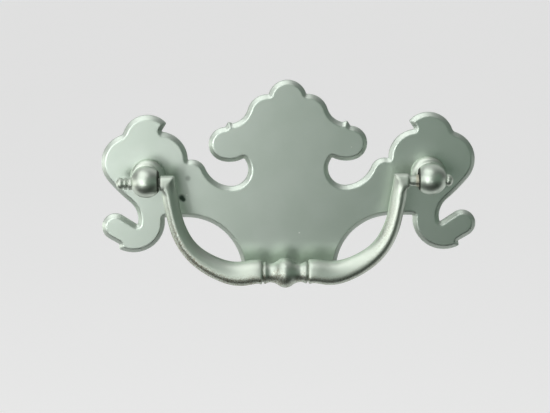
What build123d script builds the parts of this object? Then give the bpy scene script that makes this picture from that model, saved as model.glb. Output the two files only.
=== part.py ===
"""Batwing bail pull for a drawer: a flat scrolled backplate, two ball posts and a swinging bail.

Frame: the origin lies midway between the two posts on the back of the plate, where it meets
the drawer front. +X is to the right of someone facing the drawer, +Y runs into the drawer
and +Z is up. The bail hangs straight down, pushed a little to the left. Sizes are in
millimetres.
"""
from build123d import *

import os
from math import copysign, cos, pi, radians, sin

# Backplate
post_spacing = 76.2
plate_thickness = 1.6
bevel_width = 1.1
bevel_depth = 0.9
notch_radius = 0.3
tip_radius = 0.5
lobe_valley_radius = 1.6

# Right half of the plate's outline, from the crown out to the ear and into the bay below it
crown_top = (0, 25.9)
crown_end = (5.1, 22.0)
shoulder_side = (8.8, 20.9)
shoulder_end = (10.8, 18.0)
hollow_end = (15.0, 14.2)
spur_tip = (16.1, 14.7)
spur_end = (17.0, 13.2)
ear_side = (21.55, 8.5)
ear_end = (18.2, 4.0)
ear_under_end = (12.0, 4.6)
bay_side = (11.4, -0.55)
bay_bottom = (16.0, -3.04)

# The wing, measured from the post: up round its lobes and down to the scroll
bay_rise_end = (-15.5, 1.9)
bay_crest_end = (-10.8, 4.2)
wing_inside = (-8.7, 9.7)
wing_top = (-3.7, 12.1)
hook_tip = (-5.2, 14.4)
lobe_side = (0.3, 16.75)
lobe_end = (6.7, 11.4)
wing_outside = (12.65, 4.6)
wing_end = (10.9, -1.3)
wing_fall_end = (5.2, -7.1)
waist_end = (3.2, -13.5)
scroll_rise_end = (7.3, -10.85)
scroll_end = (11.2, -17.1)
scroll_foot = (8.3, -18.8)
heel_tip = (8.5, -20.1)
stem_side = (-1.8, -18.5)
stem_end = (-4.2, -11.5)
arch_start = (-10.1, -11.5)

# The body between the two lower bays
body_end = (13.0, -24.8)
tail_bottom = (0, -27.0)

# Posts: a ball on a short stem, a domed foot on the plate and a stud through the drawer front
ball_radius = 4.3
ball_standoff = 9.0
ball_flat = 3.4
bore_drop = 0.45
countersink_radius = 2.45
stem_radius = 2.7
foot_radius = 4.85
foot_rim = 0.5
foot_edge = 0.2
foot_height = 2.0
foot_top_radius = 3.5
cove_height = 1.2
boss_radius = 3.0
boss_clearance = 0.1
boss_setback = 0.1
shank_radius = 1.83
thread_radius = 2.083
thread_chamfer = 0.5
thread_lead = 3.5
thread_projection = 3.4

# Nuts and washers behind a drawer front of this thickness
drawer_front = 19.05
washer_radius = 4.76
washer_thickness = 0.9
washer_clearance = 0.12
nut_width = 8.73
nut_thickness = 3.2
nut_chamfer = 0.35
thread_clearance = 0.03

# Bail
bail_drop = 24.75
bail_shift = 1.1
side_gap = 1.5
arm_half_width = 2.05
arm_lean = 8.5
square_length = 3.0
square_corner_radius = 0.9
square_corner_margin = 0.04
elbow = (28.5, -12.9)
corner = (24.2, -19.6)
grip_bend = (16.5, -24.15)
grip_half_width = 3.4
arm_sections = 9
section_points = 16

# Section of the bar: power of its front (1 a sharp ridge, 2 round, 4 square), the ridge's place
# out from the middle and the depth of its back, both as shares of the half width
square_shape = (3.5, 0.0, 0.8)
arm_shape = (1.6, 0.2, 0.8)
grip_shape = (2.0, 0.4, 1.0)

# Pins that carry the bail, each with a neck and a ring between arm and ball
pin_radius = 1.66
pin_clearance = 0.08
neck_radius = 1.35
neck_length = 0.8
ring_radius = 1.5
ring_length = 1.4

# Finial outside each ball
finial_overlap = 0.75
finial_neck_radius = 1.25
finial_groove = 0.6
finial_ring_radius = 1.6
finial_ring = 0.55
finial_neck = 0.45
finial_knob_radius = 1.65
finial_knob = 1.85
knob_edge_radius = 1.45
knob_widest = 0.7
knob_tip_radius = 1.1
knob_dome = 0.4

# Turned middle of the grip
knop_radius = 4.05
knop_swell = (1.0, 3.85)
knop_flank = (1.9, 3.35)
knop_half_length = 4.0
waist_radius = 2.55
bead_start = 5.1
bead_length = 0.8
bead_radius = 2.8
bead_crown = 0.15
groove_radius = 2.45
groove_width = 0.3
shoulder_edge = 0.4
core_overlap = 0.6

post_x = post_spacing / 2
ball_out = plate_thickness + ball_standoff
thread_start = drawer_front - thread_lead
nut_start = drawer_front + washer_thickness
bore_radius = pin_radius + pin_clearance
arm_outside = post_x - ball_flat - side_gap
bail_half_span = arm_outside - arm_half_width
ring_start = arm_outside + neck_length
pin_start = ring_start + ring_length
pin_end = post_x + ball_radius - finial_overlap
knob_start = pin_end + finial_groove + finial_ring + finial_neck
knob_end = knob_start + finial_knob
shoulder_start = bead_start + bead_length + groove_width
nut_end = nut_start + nut_thickness
nut_corner = nut_width / 2 / cos(radians(30))
stud_end = nut_end + thread_projection
sides = ((-1, "left"), (1, "right"))

os.makedirs("parts", exist_ok=True)


def save(part, node):
    """Label a finished piece and write it under its node's name."""
    part.label = node
    export_step(part, f"parts/{node}.step")


def by_post(place):
    """A point of the outline that is measured from the right post."""
    across, up = place
    return (post_x + across, up)


# Backplate: half of the scrolled outline from the crown down to the tail, then its mirror
with BuildPart() as backplate:
    with BuildSketch(Plane.XZ) as outline:
        with BuildLine():
            crown = TangentArc(crown_top, crown_end, tangent=(1, 0))
            shoulder = ThreePointArc(crown @ 1, shoulder_side, shoulder_end)
            hollow = TangentArc(shoulder @ 1, hollow_end, tangent=shoulder % 1)
            spur = Polyline(hollow @ 1, spur_tip, spur_end)
            ear = ThreePointArc(spur @ 1, ear_side, ear_end)
            ear_under = TangentArc(ear @ 1, ear_under_end, tangent=ear % 1)
            bay = ThreePointArc(ear_under @ 1, bay_side, bay_bottom)
            bay_rise = TangentArc(bay @ 1, by_post(bay_rise_end), tangent=bay % 1)
            bay_crest = TangentArc(bay_rise @ 1, by_post(bay_crest_end), tangent=bay_rise % 1)
            wing_in = ThreePointArc(bay_crest @ 1, by_post(wing_inside), by_post(wing_top))
            hook = Line(wing_in @ 1, by_post(hook_tip))
            lobe = ThreePointArc(hook @ 1, by_post(lobe_side), by_post(lobe_end))
            wing_out = ThreePointArc(lobe @ 1, by_post(wing_outside), by_post(wing_end))
            wing_fall = TangentArc(wing_out @ 1, by_post(wing_fall_end), tangent=wing_out % 1)
            waist = TangentArc(wing_fall @ 1, by_post(waist_end), tangent=wing_fall % 1)
            scroll_rise = Line(waist @ 1, by_post(scroll_rise_end))
            scroll = TangentArc(scroll_rise @ 1, by_post(scroll_end), tangent=scroll_rise % 1)
            scroll_tail = TangentArc(scroll @ 1, by_post(scroll_foot), tangent=scroll % 1)
            heel = Line(scroll_tail @ 1, by_post(heel_tip))
            stem = ThreePointArc(heel @ 1, by_post(stem_side), by_post(stem_end))
            arch = Line(stem @ 1, by_post(arch_start))
            body = TangentArc(arch @ 1, body_end, tangent=arch % 1)
            tail = TangentArc(tail_bottom, body @ 1, tangent=(1, 0))
            Line(tail @ 0, crown @ 0)
        make_face()
        valley = outline.vertices().sort_by_distance(lobe @ 1)[0]
        fillet(valley, radius=lobe_valley_radius)
        for end in (crown, hollow, spur, ear_under, bay_crest, wing_in, waist, scroll_tail, stem):
            notch = outline.vertices().sort_by_distance(end @ 1)[0]
            fillet(notch, radius=notch_radius)
        mirror(about=Plane.YZ)
        with Locations((-post_x, 0), (post_x, 0)):
            Circle(boss_radius + boss_clearance, mode=Mode.SUBTRACT)
    extrude(amount=plate_thickness)
    front = backplate.faces().sort_by(Axis.Y)[0]
    chamfer(front.outer_wire().edges(), length=bevel_width, length2=bevel_depth, reference=front)
    with BuildSketch(Plane.XZ) as worn_outline:
        add(outline.sketch)
        for across, up in (spur_tip, by_post(hook_tip), by_post(heel_tip)):
            for tip in ((-across, up), (across, up)):
                fillet(worn_outline.vertices().sort_by_distance(tip)[0], radius=tip_radius)
    extrude(amount=plate_thickness, mode=Mode.INTERSECT)
save(backplate.part, "backplate")


# Posts: one turned profile each, then the flat and the cross hole for the bail's pin
for side, name in sides:
    turning = Plane(origin=(side * post_x, 0, 0), x_dir=(1, 0, 0), z_dir=(0, 0, -1))
    ball_face = Plane(
        origin=(side * (post_x - ball_flat), -ball_out, -bore_drop),
        x_dir=(0, 1, 0),
        z_dir=(-side, 0, 0),
    )
    foot_out = plate_thickness + foot_height
    stem_out = ball_out - (ball_radius**2 - stem_radius**2) ** 0.5
    with BuildPart() as post:
        with BuildSketch(turning):
            with BuildLine():
                stud = Polyline(
                    (0, -stud_end),
                    (thread_radius - thread_chamfer, -stud_end),
                    (thread_radius, thread_chamfer - stud_end),
                    (thread_radius, -thread_start),
                    (shank_radius, -thread_start),
                    (shank_radius, boss_setback),
                    (boss_radius, boss_setback),
                    (boss_radius, plate_thickness),
                    (foot_radius - foot_edge, plate_thickness),
                    (foot_radius, plate_thickness + foot_edge),
                    (foot_radius, plate_thickness + foot_rim),
                )
                dome = TangentArc(stud @ 1, (foot_top_radius, foot_out), tangent=(0, 1))
                cove = TangentArc(
                    (stem_radius, foot_out + cove_height), dome @ 1, tangent=(0, -1)
                )
                stem_line = Line(cove @ 0, (stem_radius, stem_out))
                ball = ThreePointArc(
                    stem_line @ 1, (ball_radius, ball_out), (0, ball_out + ball_radius)
                )
                Line(ball @ 1, stud @ 0)
            make_face()
        revolve(axis=Axis((side * post_x, 0, 0), (0, 1, 0)))
        with BuildSketch(ball_face):
            Circle(ball_radius)
        extrude(amount=ball_radius, mode=Mode.SUBTRACT)
        with Locations(ball_face):
            CounterSinkHole(radius=bore_radius, counter_sink_radius=countersink_radius)
    save(post.part, f"{name}_post")


# Washers and nuts on the studs, behind the drawer front
for side, name in sides:
    stud_at = (side * post_x, 0)
    with BuildPart() as washer:
        with BuildSketch(Plane.XZ.offset(-drawer_front)):
            with Locations(stud_at):
                Circle(washer_radius)
                Circle(thread_radius + washer_clearance, mode=Mode.SUBTRACT)
        extrude(amount=-washer_thickness)
    save(washer.part, f"{name}_washer")

    with BuildPart() as nut:
        with BuildSketch(Plane.XZ.offset(-nut_start)):
            with Locations(stud_at):
                RegularPolygon(nut_width / 2, side_count=6, major_radius=False)
                Circle(thread_radius + thread_clearance, mode=Mode.SUBTRACT)
        extrude(amount=-nut_thickness)
        with BuildSketch(Plane(origin=(side * post_x, 0, 0), x_dir=(1, 0, 0), z_dir=(0, 0, 1))):
            Polygon(
                (0, nut_start),
                (nut_corner, nut_start),
                (nut_corner, nut_end - nut_chamfer),
                (nut_corner - 2 * nut_chamfer, nut_end),
                (0, nut_end),
                align=None,
            )
        revolve(axis=Axis((side * post_x, 0, 0), (0, 1, 0)), mode=Mode.INTERSECT)
    save(nut.part, f"{name}_nut")


def bail_point(x, z):
    """A point in the bail's own middle plane, measured from the middle of its pin line."""
    return Vector(x - bail_shift, -ball_out, z - bore_drop)


def blend(first, second, share):
    """Values a share of the way from first to second."""
    return [low + (high - low) * share for low, high in zip(first, second)]


def bar_section(half_width, shape, stretch=1):
    """Outline of the bar, with x towards its outer side and y towards the viewer."""
    front_power, ridge_place, back_depth = shape
    points = []
    for step in range(section_points):
        angle = 2 * pi * step / section_points
        across, out = cos(angle), sin(angle)
        if out > 0:
            across = copysign(abs(across) ** (2 / front_power), across)
            across += ridge_place * (1 - abs(across))
            out = out ** (2 / front_power)
        else:
            out *= back_depth
        points.append((half_width * stretch * across, half_width * out))
    with BuildSketch(mode=Mode.PRIVATE) as section:
        with BuildLine():
            Spline(*points, periodic=True)
        make_face()
    return section.sketch


def bar_plane(at, heading):
    """Plane across the bar there, with its x outwards and its y towards the viewer."""
    return Plane(origin=at, x_dir=(-heading.Z, 0, heading.X), z_dir=heading)


def in_front_view(place):
    """A point of the bail's middle plane as seen from the front."""
    return (place.X, place.Z)


# Bail: tapering bar from the square top of the right arm to the grip, then its mirror
inward = Vector(-1, 0, 0)
down = Vector(-sin(radians(arm_lean)), 0, -cos(radians(arm_lean)))
mitre = (inward + down).normalized()
square_corner = bail_point(bail_half_span, 0)
square_end = square_corner + down * square_length
mitre_stretch = 1 / mitre.dot(inward)
with BuildPart() as bail:
    with BuildSketch(bar_plane(bail_point(arm_outside, 0), inward)):
        add(bar_section(arm_half_width, square_shape))
    with BuildSketch(bar_plane(square_corner, mitre)):
        add(bar_section(arm_half_width, square_shape, stretch=mitre_stretch))
    with BuildSketch(bar_plane(square_end, down)):
        add(bar_section(arm_half_width, arm_shape))
    loft(ruled=True)

    outwards = bar_plane(square_corner, mitre).x_dir * -mitre_stretch
    tip_at = square_corner + outwards * (arm_half_width + square_corner_margin)
    round_at = tip_at - outwards * square_corner_radius
    round_top = round_at + Vector(0, 0, square_corner_radius)
    round_middle = round_at + outwards.normalized() * square_corner_radius
    round_side = tip_at + down * (round_top - tip_at).length
    with BuildSketch(Plane.XZ.offset(ball_out)):
        with BuildLine():
            Polyline(in_front_view(round_top), in_front_view(tip_at), in_front_view(round_side))
            ThreePointArc(
                in_front_view(round_side), in_front_view(round_middle), in_front_view(round_top)
            )
        make_face()
    extrude(amount=arm_half_width, both=True, mode=Mode.SUBTRACT)

    with BuildLine(mode=Mode.PRIVATE):
        arm_line = Spline(
            square_end,
            bail_point(*elbow),
            bail_point(*corner),
            bail_point(*grip_bend),
            bail_point(shoulder_start, -bail_drop),
            tangents=(down, inward),
        )
    for step in range(arm_sections):
        along = step / (arm_sections - 1)
        growth = sin(pi / 2 * along**2)
        half_width = arm_half_width + (grip_half_width - arm_half_width) * growth
        with BuildSketch(bar_plane(arm_line @ along, arm_line % along)):
            add(bar_section(half_width, blend(arm_shape, grip_shape, growth)))
    loft()
    shoulder_face = bail.faces().sort_by(Axis.X)[0]
    fillet(shoulder_face.edges(), radius=shoulder_edge)

    with BuildSketch(Plane(origin=bail_point(0, -bail_drop), x_dir=(1, 0, 0), z_dir=(0, 0, 1))):
        with BuildLine():
            swell = ThreePointArc((0, knop_radius), knop_swell, knop_flank)
            flare = TangentArc(swell @ 1, (knop_half_length, waist_radius), tangent=swell % 1)
            throat = TangentArc(flare @ 1, (bead_start, bead_radius), tangent=(1, 0))
            bead = ThreePointArc(
                throat @ 1,
                (bead_start + bead_length / 2, bead_radius + bead_crown),
                (bead_start + bead_length, bead_radius),
            )
            edge = Polyline(
                bead @ 1,
                (bead_start + bead_length, groove_radius),
                (shoulder_start + core_overlap, groove_radius),
                (shoulder_start + core_overlap, 0),
                (0, 0),
                (0, knop_radius),
            )
        make_face()
    revolve(axis=Axis(bail_point(0, -bail_drop), (1, 0, 0)))

    with BuildSketch(Plane(origin=bail_point(0, 0), x_dir=(1, 0, 0), z_dir=(0, 0, 1))):
        with BuildLine():
            shaft = Polyline(
                (bail_half_span, 0),
                (bail_half_span, neck_radius),
                (ring_start, neck_radius),
                (ring_start, ring_radius),
                (pin_start, ring_radius),
                (pin_start, pin_radius),
                (pin_end, pin_radius),
                (pin_end, finial_neck_radius),
                (pin_end + finial_groove, finial_neck_radius),
                (pin_end + finial_groove, finial_ring_radius),
                (pin_end + finial_groove + finial_ring, finial_ring_radius),
                (pin_end + finial_groove + finial_ring, finial_neck_radius),
                (knob_start, finial_neck_radius),
                (knob_start, knob_edge_radius),
            )
            knob = ThreePointArc(
                shaft @ 1,
                (knob_start + knob_widest, finial_knob_radius),
                (knob_end - knob_dome, knob_tip_radius),
            )
            tip = TangentArc((knob_end, 0), knob @ 1, tangent=(0, 1))
            Line(tip @ 0, shaft @ 0)
        make_face()
    revolve(axis=Axis(bail_point(0, 0), (1, 0, 0)))
    mirror(about=Plane.YZ.offset(-bail_shift))
save(bail.part, "bail")
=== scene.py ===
"""Batwing bail pull: the finishes, the stud threads, the light and the camera around the model.

Lengths are metres in the model's frame: +X to the right, +Y into the drawer and +Z up. Lengths in
the finishes are millimetres, because their coordinates are scaled first. Colours are linear.
"""

from math import cos, pi, radians, sin, tau

import bmesh
import bpy
from mathutils import Matrix, Vector


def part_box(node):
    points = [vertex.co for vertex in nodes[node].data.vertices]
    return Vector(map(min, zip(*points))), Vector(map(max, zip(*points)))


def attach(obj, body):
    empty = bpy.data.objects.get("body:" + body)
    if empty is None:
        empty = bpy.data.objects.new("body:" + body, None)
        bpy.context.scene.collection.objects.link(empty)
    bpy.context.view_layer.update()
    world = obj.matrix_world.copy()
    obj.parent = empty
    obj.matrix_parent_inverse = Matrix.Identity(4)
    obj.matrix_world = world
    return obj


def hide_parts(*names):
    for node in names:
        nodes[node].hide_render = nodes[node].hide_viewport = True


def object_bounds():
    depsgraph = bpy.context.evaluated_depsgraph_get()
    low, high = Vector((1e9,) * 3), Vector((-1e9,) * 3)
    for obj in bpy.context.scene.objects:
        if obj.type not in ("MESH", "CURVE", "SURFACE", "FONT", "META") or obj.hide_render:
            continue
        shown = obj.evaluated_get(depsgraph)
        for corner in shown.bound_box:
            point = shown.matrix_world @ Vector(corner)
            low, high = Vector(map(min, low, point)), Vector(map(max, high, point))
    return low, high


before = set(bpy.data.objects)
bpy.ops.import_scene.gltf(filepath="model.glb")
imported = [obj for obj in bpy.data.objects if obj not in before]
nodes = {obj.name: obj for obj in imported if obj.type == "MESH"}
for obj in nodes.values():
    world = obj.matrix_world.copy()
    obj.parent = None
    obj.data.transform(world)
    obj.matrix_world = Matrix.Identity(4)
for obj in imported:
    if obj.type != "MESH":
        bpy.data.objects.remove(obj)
cad_box = [list(corner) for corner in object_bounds()]
scene = bpy.context.scene

# Camera, as worked out from the photograph: angles in degrees, lens and sensor in millimetres
CAMERA_AT = (-0.0037, -0.5094, 0.0800)
CAMERA_DOWN = 9.9
CAMERA_ROLL = -0.62
CAMERA_LENS = 123.7
SENSOR = 36.0

# Stud thread. Its profile is a flat root, a flank, a narrow crest and a flank, given by shares of
# a turn and the depth there below the crest
THREAD_PITCH = 0.000794
THREAD_DEPTH = 0.00043
THREAD_PROFILE = ((0.0, THREAD_DEPTH), (0.25, THREAD_DEPTH), (0.5625, 0.0), (0.6875, 0.0))
THREAD_LEAD = 0.0035
THREAD_CHAMFER = 0.0005
THREAD_STEPS = 40
WELD = 1e-7
FACE_MARGIN = 1e-6
STUD_MARGIN = 1e-4

# Floor
FLOOR_DROP = 0.22
FLOOR_SIZE = 12.0
FLOOR_COOL = (0.44, 0.45, 0.44, 1)
FLOOR_PLAIN = (0.46, 0.46, 0.46, 1)
FLOOR_LIFT = (0.55, 0.55, 0.55, 1)
FLOOR_ROUGHNESS = 0.8
FLOOR_TONE_SCALE = 3.0

# Soft light of the surroundings: an even part, and lobes given by their direction, the cosine from
# it at which they begin and their radiance
EVEN_LIGHT = (0.06, 0.06, 0.06)
LIGHT_LOBES = (
    ((0.0, -0.17, 0.98), 0.4, (0.12, 0.12, 0.12)),
    ((0.0, 0.80, 0.60), 0.2, (0.60, 0.60, 0.60)),
)

# Soft lamps that face the pull: name, place, width, height and radiance
PULL_AT = (0.0, 0.0, 0.0)
SOFTBOXES = (
    ("window", (-0.45, -0.89, -0.10), 0.5, 0.35, 3.6),
    ("wide_window", (-0.61, -0.73, 0.29), 1.0, 0.6, 1.6),
    ("front_window", (-0.13, -0.94, 0.31), 0.6, 0.35, 0.9),
    ("high_window", (-0.30, -0.36, 0.77), 1.0, 0.7, 1.55),
)

# Cards that show only in the metal: name, place, the point they face, width, height and radiance
CARDS = (
    ("card_left", (-0.60, 0.10, -0.08), (0.0, 0.10, -0.08), 0.75, 0.32, (1.8, 1.8, 1.74, 1)),
    ("card_right", (0.50, -0.56, 0.02), PULL_AT, 1.3, 1.0, (0.18, 0.235, 0.195, 1)),
    ("card_below", (0.0, -0.27, -0.16), (0.0, -0.27, 0.0), 1.2, 0.52, (0.01, 0.015, 0.01, 1)),
)

# Metals. The green cast of the nickel and of the cast metal is a painted reflection of green
# surroundings
NICKEL_AND_GREEN_REFLECTION = (0.57, 0.65, 0.575, 1)
NICKEL_CLOUD_AND_GREEN_REFLECTION = (0.60, 0.675, 0.605, 1)
CAST_AND_GREEN_REFLECTION = (0.58, 0.65, 0.57, 1)
CAST_CLOUD_AND_GREEN_REFLECTION = (0.61, 0.67, 0.59, 1)
ZINC = (0.62, 0.65, 0.68, 1)
ZINC_CLOUD = (0.70, 0.71, 0.66, 1)

# Marks on them, with a painted sheen on the plate's bevel and painted shade on the ball's flat
DARK = (0.02, 0.03, 0.022, 1)
PALE = (0.93, 0.96, 0.91, 1)
WORN = (0.24, 0.20, 0.13, 1)
PIT = (0.05, 0.08, 0.06, 1)
# The bevel's paler colour is partly edge wear and partly a painted sheen
BEVEL = (0.64, 0.71, 0.64, 1)
BRASS = (0.50, 0.42, 0.28, 1)
# Painted shade for the gap between the ball's flat and the bail's arm
PAINTED_GAP_SHADE = (0.09, 0.10, 0.08, 1)

# Clouds of tone that every metal has, in features to the millimetre and noise levels
CLOUD_SCALE = 0.09
CLOUD_LEVELS = (0.35, 0.65)
GRAIN_LEVELS = (0.3, 0.7)

# Where the marks lie: a centre, the radius of the full mark and the radius where it ends
SMUDGE = ((-27.3, -1.6, -0.6), 0.2, 1.1)
SMUDGE_STRENGTH = 0.35
PITS = (
    ((-29.1, -1.6, -5.9), 0.30, 1.30),
    ((-28.6, -1.6, -6.5), 0.25, 0.9),
)
PIT_HEIGHT = -0.06
# The ball's flat and the ball's edge beside it take painted shade
BALL_FLAT = ((34.6, 10.6, 0.45), 3.2, 3.5)
BALL_FLAT_END = (35.0, 35.3)
PIN_RING = ((34.6, -10.6, -0.45), 1.9, 2.1)
PIN_RING_START = (33.7, 34.3)

# Pale specks on the plate: size of the cells, of a speck, the share of cells with one, and its seed
SPECKS = (5.0, 0.32, 0.22, 3.0)
SPECK_HEIGHT = 0.01

# The plate's bevel is where its normal's Y lies beyond these
BEVEL_NORMAL = (-0.97, -0.90)

# Wear on the bail: the side that is rubbed, how far round it reaches, how far up and across with
# the share left there, and the grains that it wears off in
WORN_SIDE = (-0.60, -0.20, -0.77)
WORN_ROUND = (-0.10, 0.45)
WORN_UP = (-21.0, -2.0, 1.0, 0.1)
WORN_ACROSS = (-12.0, 12.0, 1.0, 0.6)
WORN_GRAINS = (0.47, 0.56, 0.0, 0.85)
WORN_SCALE = 2.4
WORN_HEIGHT = -0.006

# Mix node's colour sockets
MIX_A = 6
MIX_B = 7
MIX_OUT = 2


def wire(tree, kind, inputs=None, **settings):
    """A new shader node with its settings, and its inputs linked or set."""
    node = tree.nodes.new(kind)
    for name, value in settings.items():
        setattr(node, name, value)
    for name, value in (inputs or {}).items():
        if isinstance(value, bpy.types.NodeSocket):
            tree.links.new(value, node.inputs[name])
        else:
            node.inputs[name].default_value = value
    return node


def empty_material(name):
    """A new material with an empty node tree."""
    material = bpy.data.materials.new(name)
    material.use_nodes = True
    material.node_tree.nodes.clear()
    return material


def millimetres(tree):
    """The surface's place in the model's frame, in millimetres."""
    place = wire(tree, "ShaderNodeTexCoord").outputs["Object"]
    scaled = wire(tree, "ShaderNodeVectorMath", {0: place, "Scale": 1000}, operation="SCALE")
    return scaled.outputs[0]


def noise(tree, place, scale, detail=2.0, roughness=0.5):
    """Soft noise about 0.5, with this many features to the unit of place."""
    inputs = {"Vector": place, "Scale": scale, "Detail": detail, "Roughness": roughness}
    return wire(tree, "ShaderNodeTexNoise", inputs).outputs["Fac"]


def ramp(tree, value, low, high, out_low=0.0, out_high=1.0):
    """value from low to high, mapped smoothly to out_low to out_high."""
    inputs = {0: value, 1: low, 2: high, 3: out_low, 4: out_high}
    made = wire(tree, "ShaderNodeMapRange", inputs, interpolation_type="SMOOTHSTEP")
    return made.outputs[0]


def maths(tree, operation, first, second):
    """One Math node on two values."""
    return wire(tree, "ShaderNodeMath", {0: first, 1: second}, operation=operation).outputs[0]


def mixed(tree, amount, first, second):
    """Mix of two colours."""
    inputs = {0: amount, MIX_A: first, MIX_B: second}
    return wire(tree, "ShaderNodeMix", inputs, data_type="RGBA").outputs[MIX_OUT]


def near(tree, place, centre, inner, outer):
    """1 within inner millimetres of centre, falling to 0 at outer."""
    away = wire(tree, "ShaderNodeVectorMath", {0: place, 1: centre}, operation="DISTANCE")
    return ramp(tree, away.outputs["Value"], inner, outer, 1.0, 0.0)


def specks(tree, place, cell, size, share, seed):
    """1 on small round specks: a share of the cells holds one."""
    shift = {0: place, 1: (seed, seed, seed)}
    shifted = wire(tree, "ShaderNodeVectorMath", shift, operation="ADD")
    inputs = {"Vector": shifted.outputs[0], "Scale": 1 / cell}
    cells = wire(tree, "ShaderNodeTexVoronoi", inputs)
    dot = ramp(tree, cells.outputs["Distance"], 0.4 * size / cell, size / cell, 1.0, 0.0)
    chance = wire(tree, "ShaderNodeSeparateColor", {0: cells.outputs["Color"]}).outputs[0]
    chosen = maths(tree, "LESS_THAN", chance, share)
    return maths(tree, "MULTIPLY", dot, chosen)


class Metal:
    """A metal finish under construction: its colour, roughness and height are built up in turn."""

    def __init__(self, name, colour, cloud, roughness, grain, grain_scale):
        self.material = empty_material(name)
        self.tree = self.material.node_tree
        self.place = millimetres(self.tree)
        clouds = noise(self.tree, self.place, CLOUD_SCALE, detail=3)
        self.colour = mixed(self.tree, ramp(self.tree, clouds, *CLOUD_LEVELS), colour, cloud)
        fine = noise(self.tree, self.place, grain_scale, detail=3, roughness=0.6)
        self.roughness = ramp(self.tree, fine, *GRAIN_LEVELS, *roughness)
        self.height = maths(self.tree, "MULTIPLY", fine, grain)

    def paint(self, mask, colour, roughness, height=0.0):
        """Lay another colour where mask is 1, with its roughness and its height in millimetres."""
        self.colour = mixed(self.tree, mask, self.colour, colour)
        inputs = {0: mask, 2: self.roughness, 3: roughness}
        made = wire(self.tree, "ShaderNodeMix", inputs, data_type="FLOAT")
        self.roughness = made.outputs[0]
        if height:
            change = maths(self.tree, "MULTIPLY", mask, height)
            self.height = maths(self.tree, "ADD", self.height, change)

    def finish(self, edge_radius):
        """Close the node tree, with edges that look this round, and return the material."""
        inputs = {"Height": self.height, "Distance": 0.001, "Strength": 1.0}
        rounded = wire(self.tree, "ShaderNodeBevel", {"Radius": edge_radius}, samples=6)
        inputs["Normal"] = rounded.outputs[0]
        bump = wire(self.tree, "ShaderNodeBump", inputs)
        inputs = {
            "Base Color": self.colour,
            "Metallic": 1.0,
            "Roughness": self.roughness,
            "Normal": bump.outputs[0],
        }
        shader = wire(self.tree, "ShaderNodeBsdfPrincipled", inputs)
        wire(self.tree, "ShaderNodeOutputMaterial", {"Surface": shader.outputs[0]})
        return self.material


def plate_finish():
    """Satin nickel on rolled plate, duller and paler on its bevel, the paler colour partly edge
    wear and partly a painted sheen, with pale specks and one dark pit.
    """
    # The nickel colours carry a painted green reflection
    metal = Metal("satin_plate", NICKEL_AND_GREEN_REFLECTION, NICKEL_CLOUD_AND_GREEN_REFLECTION, (0.28, 0.31), 0.0005, 2.2)
    metal.paint(specks(metal.tree, metal.place, *SPECKS), PALE, 0.55, SPECK_HEIGHT)
    smudge = near(metal.tree, metal.place, *SMUDGE)
    metal.paint(maths(metal.tree, "MULTIPLY", smudge, SMUDGE_STRENGTH), DARK, 0.6)
    for pit in PITS:
        metal.paint(near(metal.tree, metal.place, *pit), PIT, 0.7, PIT_HEIGHT)
    normal = wire(metal.tree, "ShaderNodeTexCoord").outputs["Normal"]
    outward = wire(metal.tree, "ShaderNodeSeparateXYZ", {0: normal}).outputs["Y"]
    # A duller, paler bevel: edge wear with a painted sheen
    metal.paint(ramp(metal.tree, outward, *BEVEL_NORMAL), BEVEL, 0.46)
    return metal.finish(edge_radius=0.0006)


def post_finish():
    """Satin nickel on turned posts, with painted shade on the ball's flat round the pin and on the
    ball's edge beside it.
    """
    # The cast colours carry a painted green reflection
    metal = Metal("satin_post", CAST_AND_GREEN_REFLECTION, CAST_CLOUD_AND_GREEN_REFLECTION, (0.38, 0.45), 0.0015, 3.0)
    mirrored = wire(metal.tree, "ShaderNodeVectorMath", {0: metal.place}, operation="ABSOLUTE")
    mirrored = mirrored.outputs[0]
    across = wire(metal.tree, "ShaderNodeSeparateXYZ", {0: mirrored}).outputs["X"]
    # Painted shade on the ball's flat and the ball's edge next to it, where the bail's arm shades
    # the gap
    inward = ramp(metal.tree, across, *BALL_FLAT_END, 1.0, 0.0)
    flat = near(metal.tree, mirrored, *BALL_FLAT)
    metal.paint(maths(metal.tree, "MULTIPLY", inward, flat), PAINTED_GAP_SHADE, 0.6)
    return metal.finish(edge_radius=0.0001)


def bail_finish():
    """Satin nickel on a cast bail, grainier, rubbed through below and brassy on one ring."""
    # The cast colours carry a painted green reflection
    metal = Metal("satin_bail", CAST_AND_GREEN_REFLECTION, CAST_CLOUD_AND_GREEN_REFLECTION, (0.39, 0.48), 0.005, 2.6)
    normal = wire(metal.tree, "ShaderNodeTexCoord").outputs["Normal"]
    inputs = {0: normal, 1: WORN_SIDE}
    turned_to = wire(metal.tree, "ShaderNodeVectorMath", inputs, operation="DOT_PRODUCT")
    split = wire(metal.tree, "ShaderNodeSeparateXYZ", {0: metal.place})
    across, up = split.outputs["X"], split.outputs["Z"]
    rub = ramp(metal.tree, turned_to.outputs["Value"], *WORN_ROUND)
    rub = maths(metal.tree, "MULTIPLY", rub, ramp(metal.tree, up, *WORN_UP))
    rub = maths(metal.tree, "MULTIPLY", rub, ramp(metal.tree, across, *WORN_ACROSS))
    grains = noise(metal.tree, metal.place, WORN_SCALE, detail=4, roughness=0.8)
    patches = ramp(metal.tree, grains, *WORN_GRAINS)
    metal.paint(maths(metal.tree, "MULTIPLY", rub, patches), WORN, 0.55, WORN_HEIGHT)
    ring = near(metal.tree, metal.place, *PIN_RING)
    outward = ramp(metal.tree, across, *PIN_RING_START, 0.0, 0.5)
    metal.paint(maths(metal.tree, "MULTIPLY", ring, outward), BRASS, 0.5)
    return metal.finish(edge_radius=0.0009)


def zinc_finish():
    """Bright zinc on the washers and nuts."""
    metal = Metal("zinc", ZINC, ZINC_CLOUD, (0.25, 0.4), 0.001, 4.0)
    return metal.finish(edge_radius=0.0001)


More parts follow.
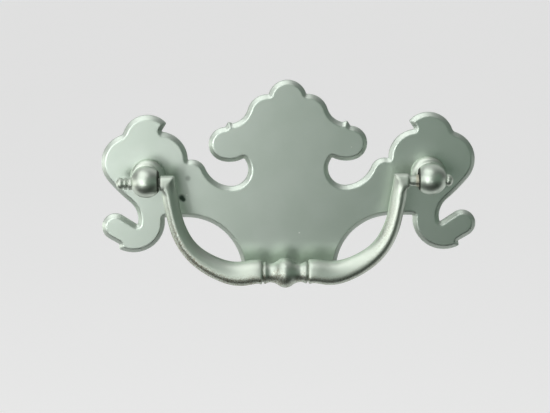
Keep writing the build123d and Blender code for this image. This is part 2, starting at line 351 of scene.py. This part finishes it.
def floor_finish():
    """Plain pale floor with a breath of tone in it, lifted where it is seen or mirrored."""
    material = empty_material("pale_floor")
    tree = material.node_tree
    tone = noise(tree, wire(tree, "ShaderNodeTexCoord").outputs["Object"], FLOOR_TONE_SCALE)
    colour = mixed(tree, tone, FLOOR_COOL, FLOOR_PLAIN)
    path = wire(tree, "ShaderNodeLightPath")
    seen = maths(tree, "MAXIMUM", path.outputs["Is Camera Ray"], path.outputs["Is Glossy Ray"])
    seen = maths(tree, "MAXIMUM", seen, path.outputs["Is Transmission Ray"])
    inputs = {
        "Base Color": colour,
        "Roughness": FLOOR_ROUGHNESS,
        "Emission Color": FLOOR_LIFT,
        "Emission Strength": seen,
    }
    shader = wire(tree, "ShaderNodeBsdfPrincipled", inputs)
    wire(tree, "ShaderNodeOutputMaterial", {"Surface": shader.outputs[0]})
    return material


def card_finish(name, radiance):
    """The plain glow of a studio card."""
    material = empty_material(name)
    tree = material.node_tree
    shader = wire(tree, "ShaderNodeEmission", {"Color": radiance, "Strength": 1.0})
    wire(tree, "ShaderNodeOutputMaterial", {"Surface": shader.outputs[0]})
    return material


def dress(names, material):
    """Give the model's own nodes this material."""
    for name in names:
        for slot in nodes[name].material_slots:
            slot.material = material


def new_piece(name, mesh, material, body, node):
    """A piece that stands for part of a node and rides on its body."""
    mesh.materials.clear()
    mesh.materials.append(material)
    piece = bpy.data.objects.new(name, mesh)
    scene.collection.objects.link(piece)
    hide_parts(node)
    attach(piece, body)
    return piece


def thread_mesh(name, centre_x, start, end, outer):
    """The rolled thread on a stud's end: rows follow the helix, so that the crest stays sharp."""
    mesh = bmesh.new()
    marks = len(THREAD_PROFILE)
    turns = int((end - start) / THREAD_PITCH) + 2
    rows = []
    for index in range(-marks, turns * marks):
        share, depth = THREAD_PROFILE[index % marks]
        lead = index // marks + share
        row = []
        for step in range(THREAD_STEPS + 1):
            along = start + THREAD_PITCH * (lead + step / THREAD_STEPS)
            along = min(max(along, start), end)
            radius = min(outer - depth, outer - THREAD_CHAMFER + end - along)
            angle = tau * step / THREAD_STEPS
            point = (centre_x + radius * cos(angle), along, radius * sin(angle))
            row.append(mesh.verts.new(point))
        rows.append(row)
    for low, high in zip(rows, rows[1:]):
        for step in range(THREAD_STEPS):
            mesh.faces.new((low[step], low[step + 1], high[step + 1], high[step]))
    for row, along in ((rows[0], start), (rows[-1], end)):
        middle = mesh.verts.new((centre_x, along, 0))
        for step in range(THREAD_STEPS):
            mesh.faces.new((middle, row[step], row[step + 1]))
    bmesh.ops.remove_doubles(mesh, verts=mesh.verts, dist=WELD)
    bmesh.ops.recalc_face_normals(mesh, faces=mesh.faces)
    made = bpy.data.meshes.new(name)
    mesh.to_mesh(made)
    mesh.free()
    return made


def shank_mesh(node, thread_start):
    """The post's own mesh without the stretch that carries the thread."""
    made = nodes[node].data.copy()
    mesh = bmesh.new()
    mesh.from_mesh(made)
    cut = thread_start - FACE_MARGIN
    behind = [face for face in mesh.faces if min(v.co.y for v in face.verts) > cut]
    bmesh.ops.delete(mesh, geom=behind, context="FACES")
    mesh.to_mesh(made)
    mesh.free()
    return made


def thread_post(side, material):
    """Show one post as its turned part and its threaded end."""
    node = f"{side}_post"
    low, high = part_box(node)
    washer_low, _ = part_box(f"{side}_washer")
    start = washer_low[1] - THREAD_LEAD
    centre_x = (low[0] + high[0]) / 2
    stud = [v.co for v in nodes[node].data.vertices if v.co.y > start + STUD_MARGIN]
    outer = max(point.x - centre_x for point in stud)
    shank = shank_mesh(node, start)
    new_piece(f"{side}_post_turned", shank, material, "mounting", node)
    thread = thread_mesh(f"{side}_post_thread", centre_x, start, high[1], outer)
    new_piece(f"{side}_post_thread", thread, material, "mounting", node)


def add_floor():
    """The pale floor under the pull, wide enough to fill the view."""
    drop = cad_box[0][2] - FLOOR_DROP
    bpy.ops.mesh.primitive_plane_add(size=FLOOR_SIZE, location=(0, 0, drop))
    floor = bpy.context.object
    floor.name = "floor"
    floor.data.materials.append(floor_finish())


def facing(place, aim):
    """Turn that points a lamp or card at place towards aim."""
    return (Vector(aim) - Vector(place)).to_track_quat("-Z", "Y").to_euler()


def add_softbox(name, place, width, height, radiance):
    """A rectangular lamp of this radiance that faces the pull."""
    lamp = bpy.data.lights.new(name, "AREA")
    lamp.shape = "RECTANGLE"
    lamp.size = width
    lamp.size_y = height
    lamp.energy = radiance * width * height * pi
    holder = bpy.data.objects.new(name, lamp)
    holder.location = place
    holder.rotation_euler = facing(place, PULL_AT)
    scene.collection.objects.link(holder)


def add_card(name, place, aim, width, height, radiance):
    """A studio card that shows only as a reflection in the metal."""
    bpy.ops.mesh.primitive_plane_add(size=1, location=place, rotation=facing(place, aim))
    card = bpy.context.object
    card.name = name
    card.scale = (width, height, 1)
    card.visible_camera = False
    card.visible_diffuse = False
    card.visible_shadow = False
    card.data.materials.append(card_finish(name, radiance))


def add_world():
    """Soft surroundings: dim, paler above and behind."""
    world = bpy.data.worlds.new("studio")
    scene.world = world
    world.use_nodes = True
    tree = world.node_tree
    tree.nodes.clear()
    direction = wire(tree, "ShaderNodeTexCoord").outputs["Generated"]
    light = wire(tree, "ShaderNodeCombineXYZ", dict(zip("XYZ", EVEN_LIGHT))).outputs[0]
    for toward, begin, radiance in LIGHT_LOBES:
        inputs = {0: direction, 1: Vector(toward).normalized()}
        cosine = wire(tree, "ShaderNodeVectorMath", inputs, operation="DOT_PRODUCT")
        strength = ramp(tree, cosine.outputs["Value"], begin, 1.0)
        inputs = {0: strength, 1: radiance, 2: light}
        light = wire(tree, "ShaderNodeVectorMath", inputs, operation="MULTIPLY_ADD").outputs[0]
    shader = wire(tree, "ShaderNodeBackground", {"Color": light, "Strength": 1.0})
    wire(tree, "ShaderNodeOutputWorld", {"Surface": shader.outputs[0]})


def add_camera():
    """The photograph's camera."""
    camera = bpy.data.objects.new("camera", bpy.data.cameras.new("camera"))
    camera.data.sensor_width = SENSOR
    camera.data.lens = CAMERA_LENS
    tilt = Matrix.Rotation(radians(90 - CAMERA_DOWN), 4, "X")
    roll = Matrix.Rotation(radians(CAMERA_ROLL), 4, "Z")
    camera.matrix_world = Matrix.Translation(CAMERA_AT) @ tilt @ roll
    scene.collection.objects.link(camera)
    scene.camera = camera


plate = plate_finish()
turned = post_finish()
cast = bail_finish()
zinc = zinc_finish()
dress(["backplate"], plate)
dress(["bail"], cast)
dress(["left_washer", "right_washer", "left_nut", "right_nut"], zinc)
for side in ("left", "right"):
    thread_post(side, turned)
add_floor()
add_world()
for softbox in SOFTBOXES:
    add_softbox(*softbox)
for card in CARDS:
    add_card(*card)
add_camera()
scene.view_settings.view_transform = "Standard"
